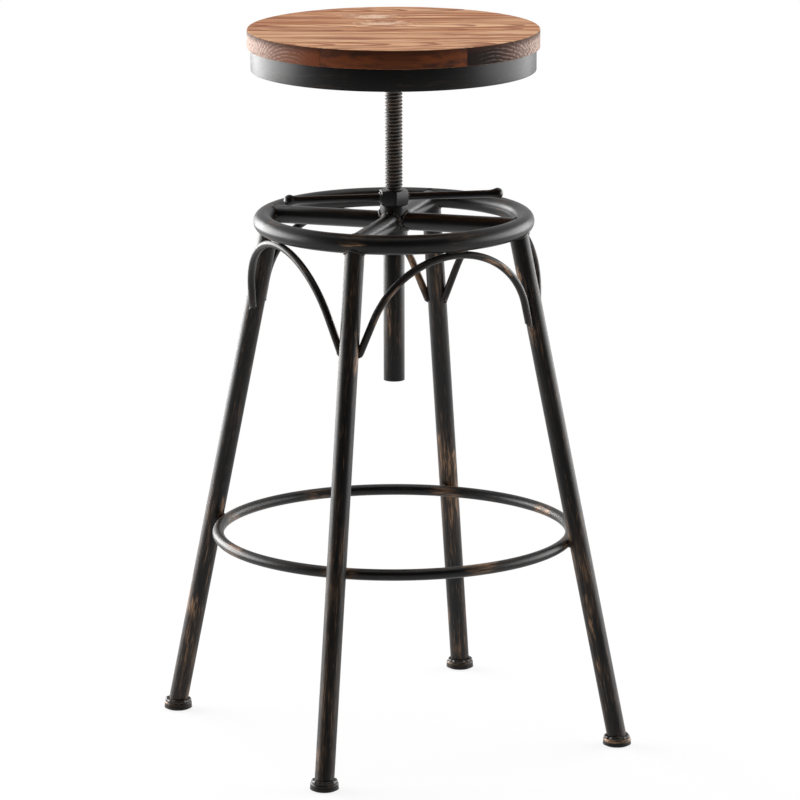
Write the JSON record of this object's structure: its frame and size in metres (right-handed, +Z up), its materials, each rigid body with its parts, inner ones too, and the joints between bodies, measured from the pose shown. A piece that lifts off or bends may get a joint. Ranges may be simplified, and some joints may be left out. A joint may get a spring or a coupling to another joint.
{
  "type": "bar stool",
  "caption": "Backless bar stool with a round wooden seat on a screw spindle, lock nut with arms, leaning tube legs, foot ring and bent-rod arches; the seat turns to change height.",
  "frame": {"origin": "on the floor, on the spindle's axis, at the middle of the four feet", "axes": "+Z up along the spindle, -Y towards the front, with one leg on each diagonal"},
  "size_m": [0.4174, 0.4174, 0.815],
  "materials": {
    "seat_wood": "honey-brown stained softwood boards, satin varnish",
    "blackened_steel": "satin black with hand-rubbed bronze patches",
    "thread_steel": "dark oiled steel thread",
    "plated_steel": "zinc-plated fasteners",
    "bush_plastic": "natural nylon",
    "glide_plastic": "black plastic"
  },
  "bodies": {
    "base": {"arch_back": "blackened_steel", "arch_front": "blackened_steel", "arch_left": "blackened_steel", "arch_right": "blackened_steel", "foot_cap_back_left": "blackened_steel", "foot_cap_back_right": "blackened_steel", "foot_cap_front_left": "blackened_steel", "foot_cap_front_right": "blackened_steel", "foot_glide_back_left": "glide_plastic", "foot_glide_back_right": "glide_plastic", "foot_glide_front_left": "glide_plastic", "foot_glide_front_right": "glide_plastic", "foot_ring": "blackened_steel", "guide_tube": "blackened_steel", "hub": "blackened_steel", "leg_back_left": "blackened_steel", "leg_back_right": "blackened_steel", "leg_front_left": "blackened_steel", "leg_front_right": "blackened_steel", "spoke_back_left": "blackened_steel", "spoke_back_right": "blackened_steel", "spoke_front_left": "blackened_steel", "spoke_front_right": "blackened_steel", "top_ring": "blackened_steel"},
    "guide": {"guide_bush": "bush_plastic"},
    "seat": {"cross_bar_left": "blackened_steel", "cross_bar_long": "blackened_steel", "cross_bar_right": "blackened_steel", "end_bolt": "plated_steel", "seat_band": "blackened_steel", "seat_board_1": "seat_wood", "seat_board_2": "seat_wood", "seat_board_3": "seat_wood", "seat_board_4": "seat_wood", "seat_board_5": "seat_wood", "seat_screws": "plated_steel", "spindle": "thread_steel", "spindle_flange": "blackened_steel", "stop_washer": "plated_steel"},
    "lock": {"lock_arm_left": "blackened_steel", "lock_arm_right": "blackened_steel", "lock_nut": "blackened_steel"}
  },
  "joints": [
    {"name": "seat_height", "type": "slide", "parent": "base", "child": "guide", "axis": [0, 0, 1], "range_m": [-0.1361, 0.0161]},
    {"name": "seat_turn", "type": "hinge", "parent": "guide", "child": "seat", "pos_m": [0, 0, 0.6], "axis": [0, 0, 1], "range_deg": [-12240, 1440]},
    {"name": "lock_turn", "type": "hinge", "parent": "base", "child": "lock", "pos_m": [0, 0, 0.622], "axis": [0, 0, 1], "range_deg": [0, 90]}
  ],
  "couplings": [
    {"joint": "seat_height", "follows": "seat_turn", "m_per_rad": 0.00063662}
  ]
}
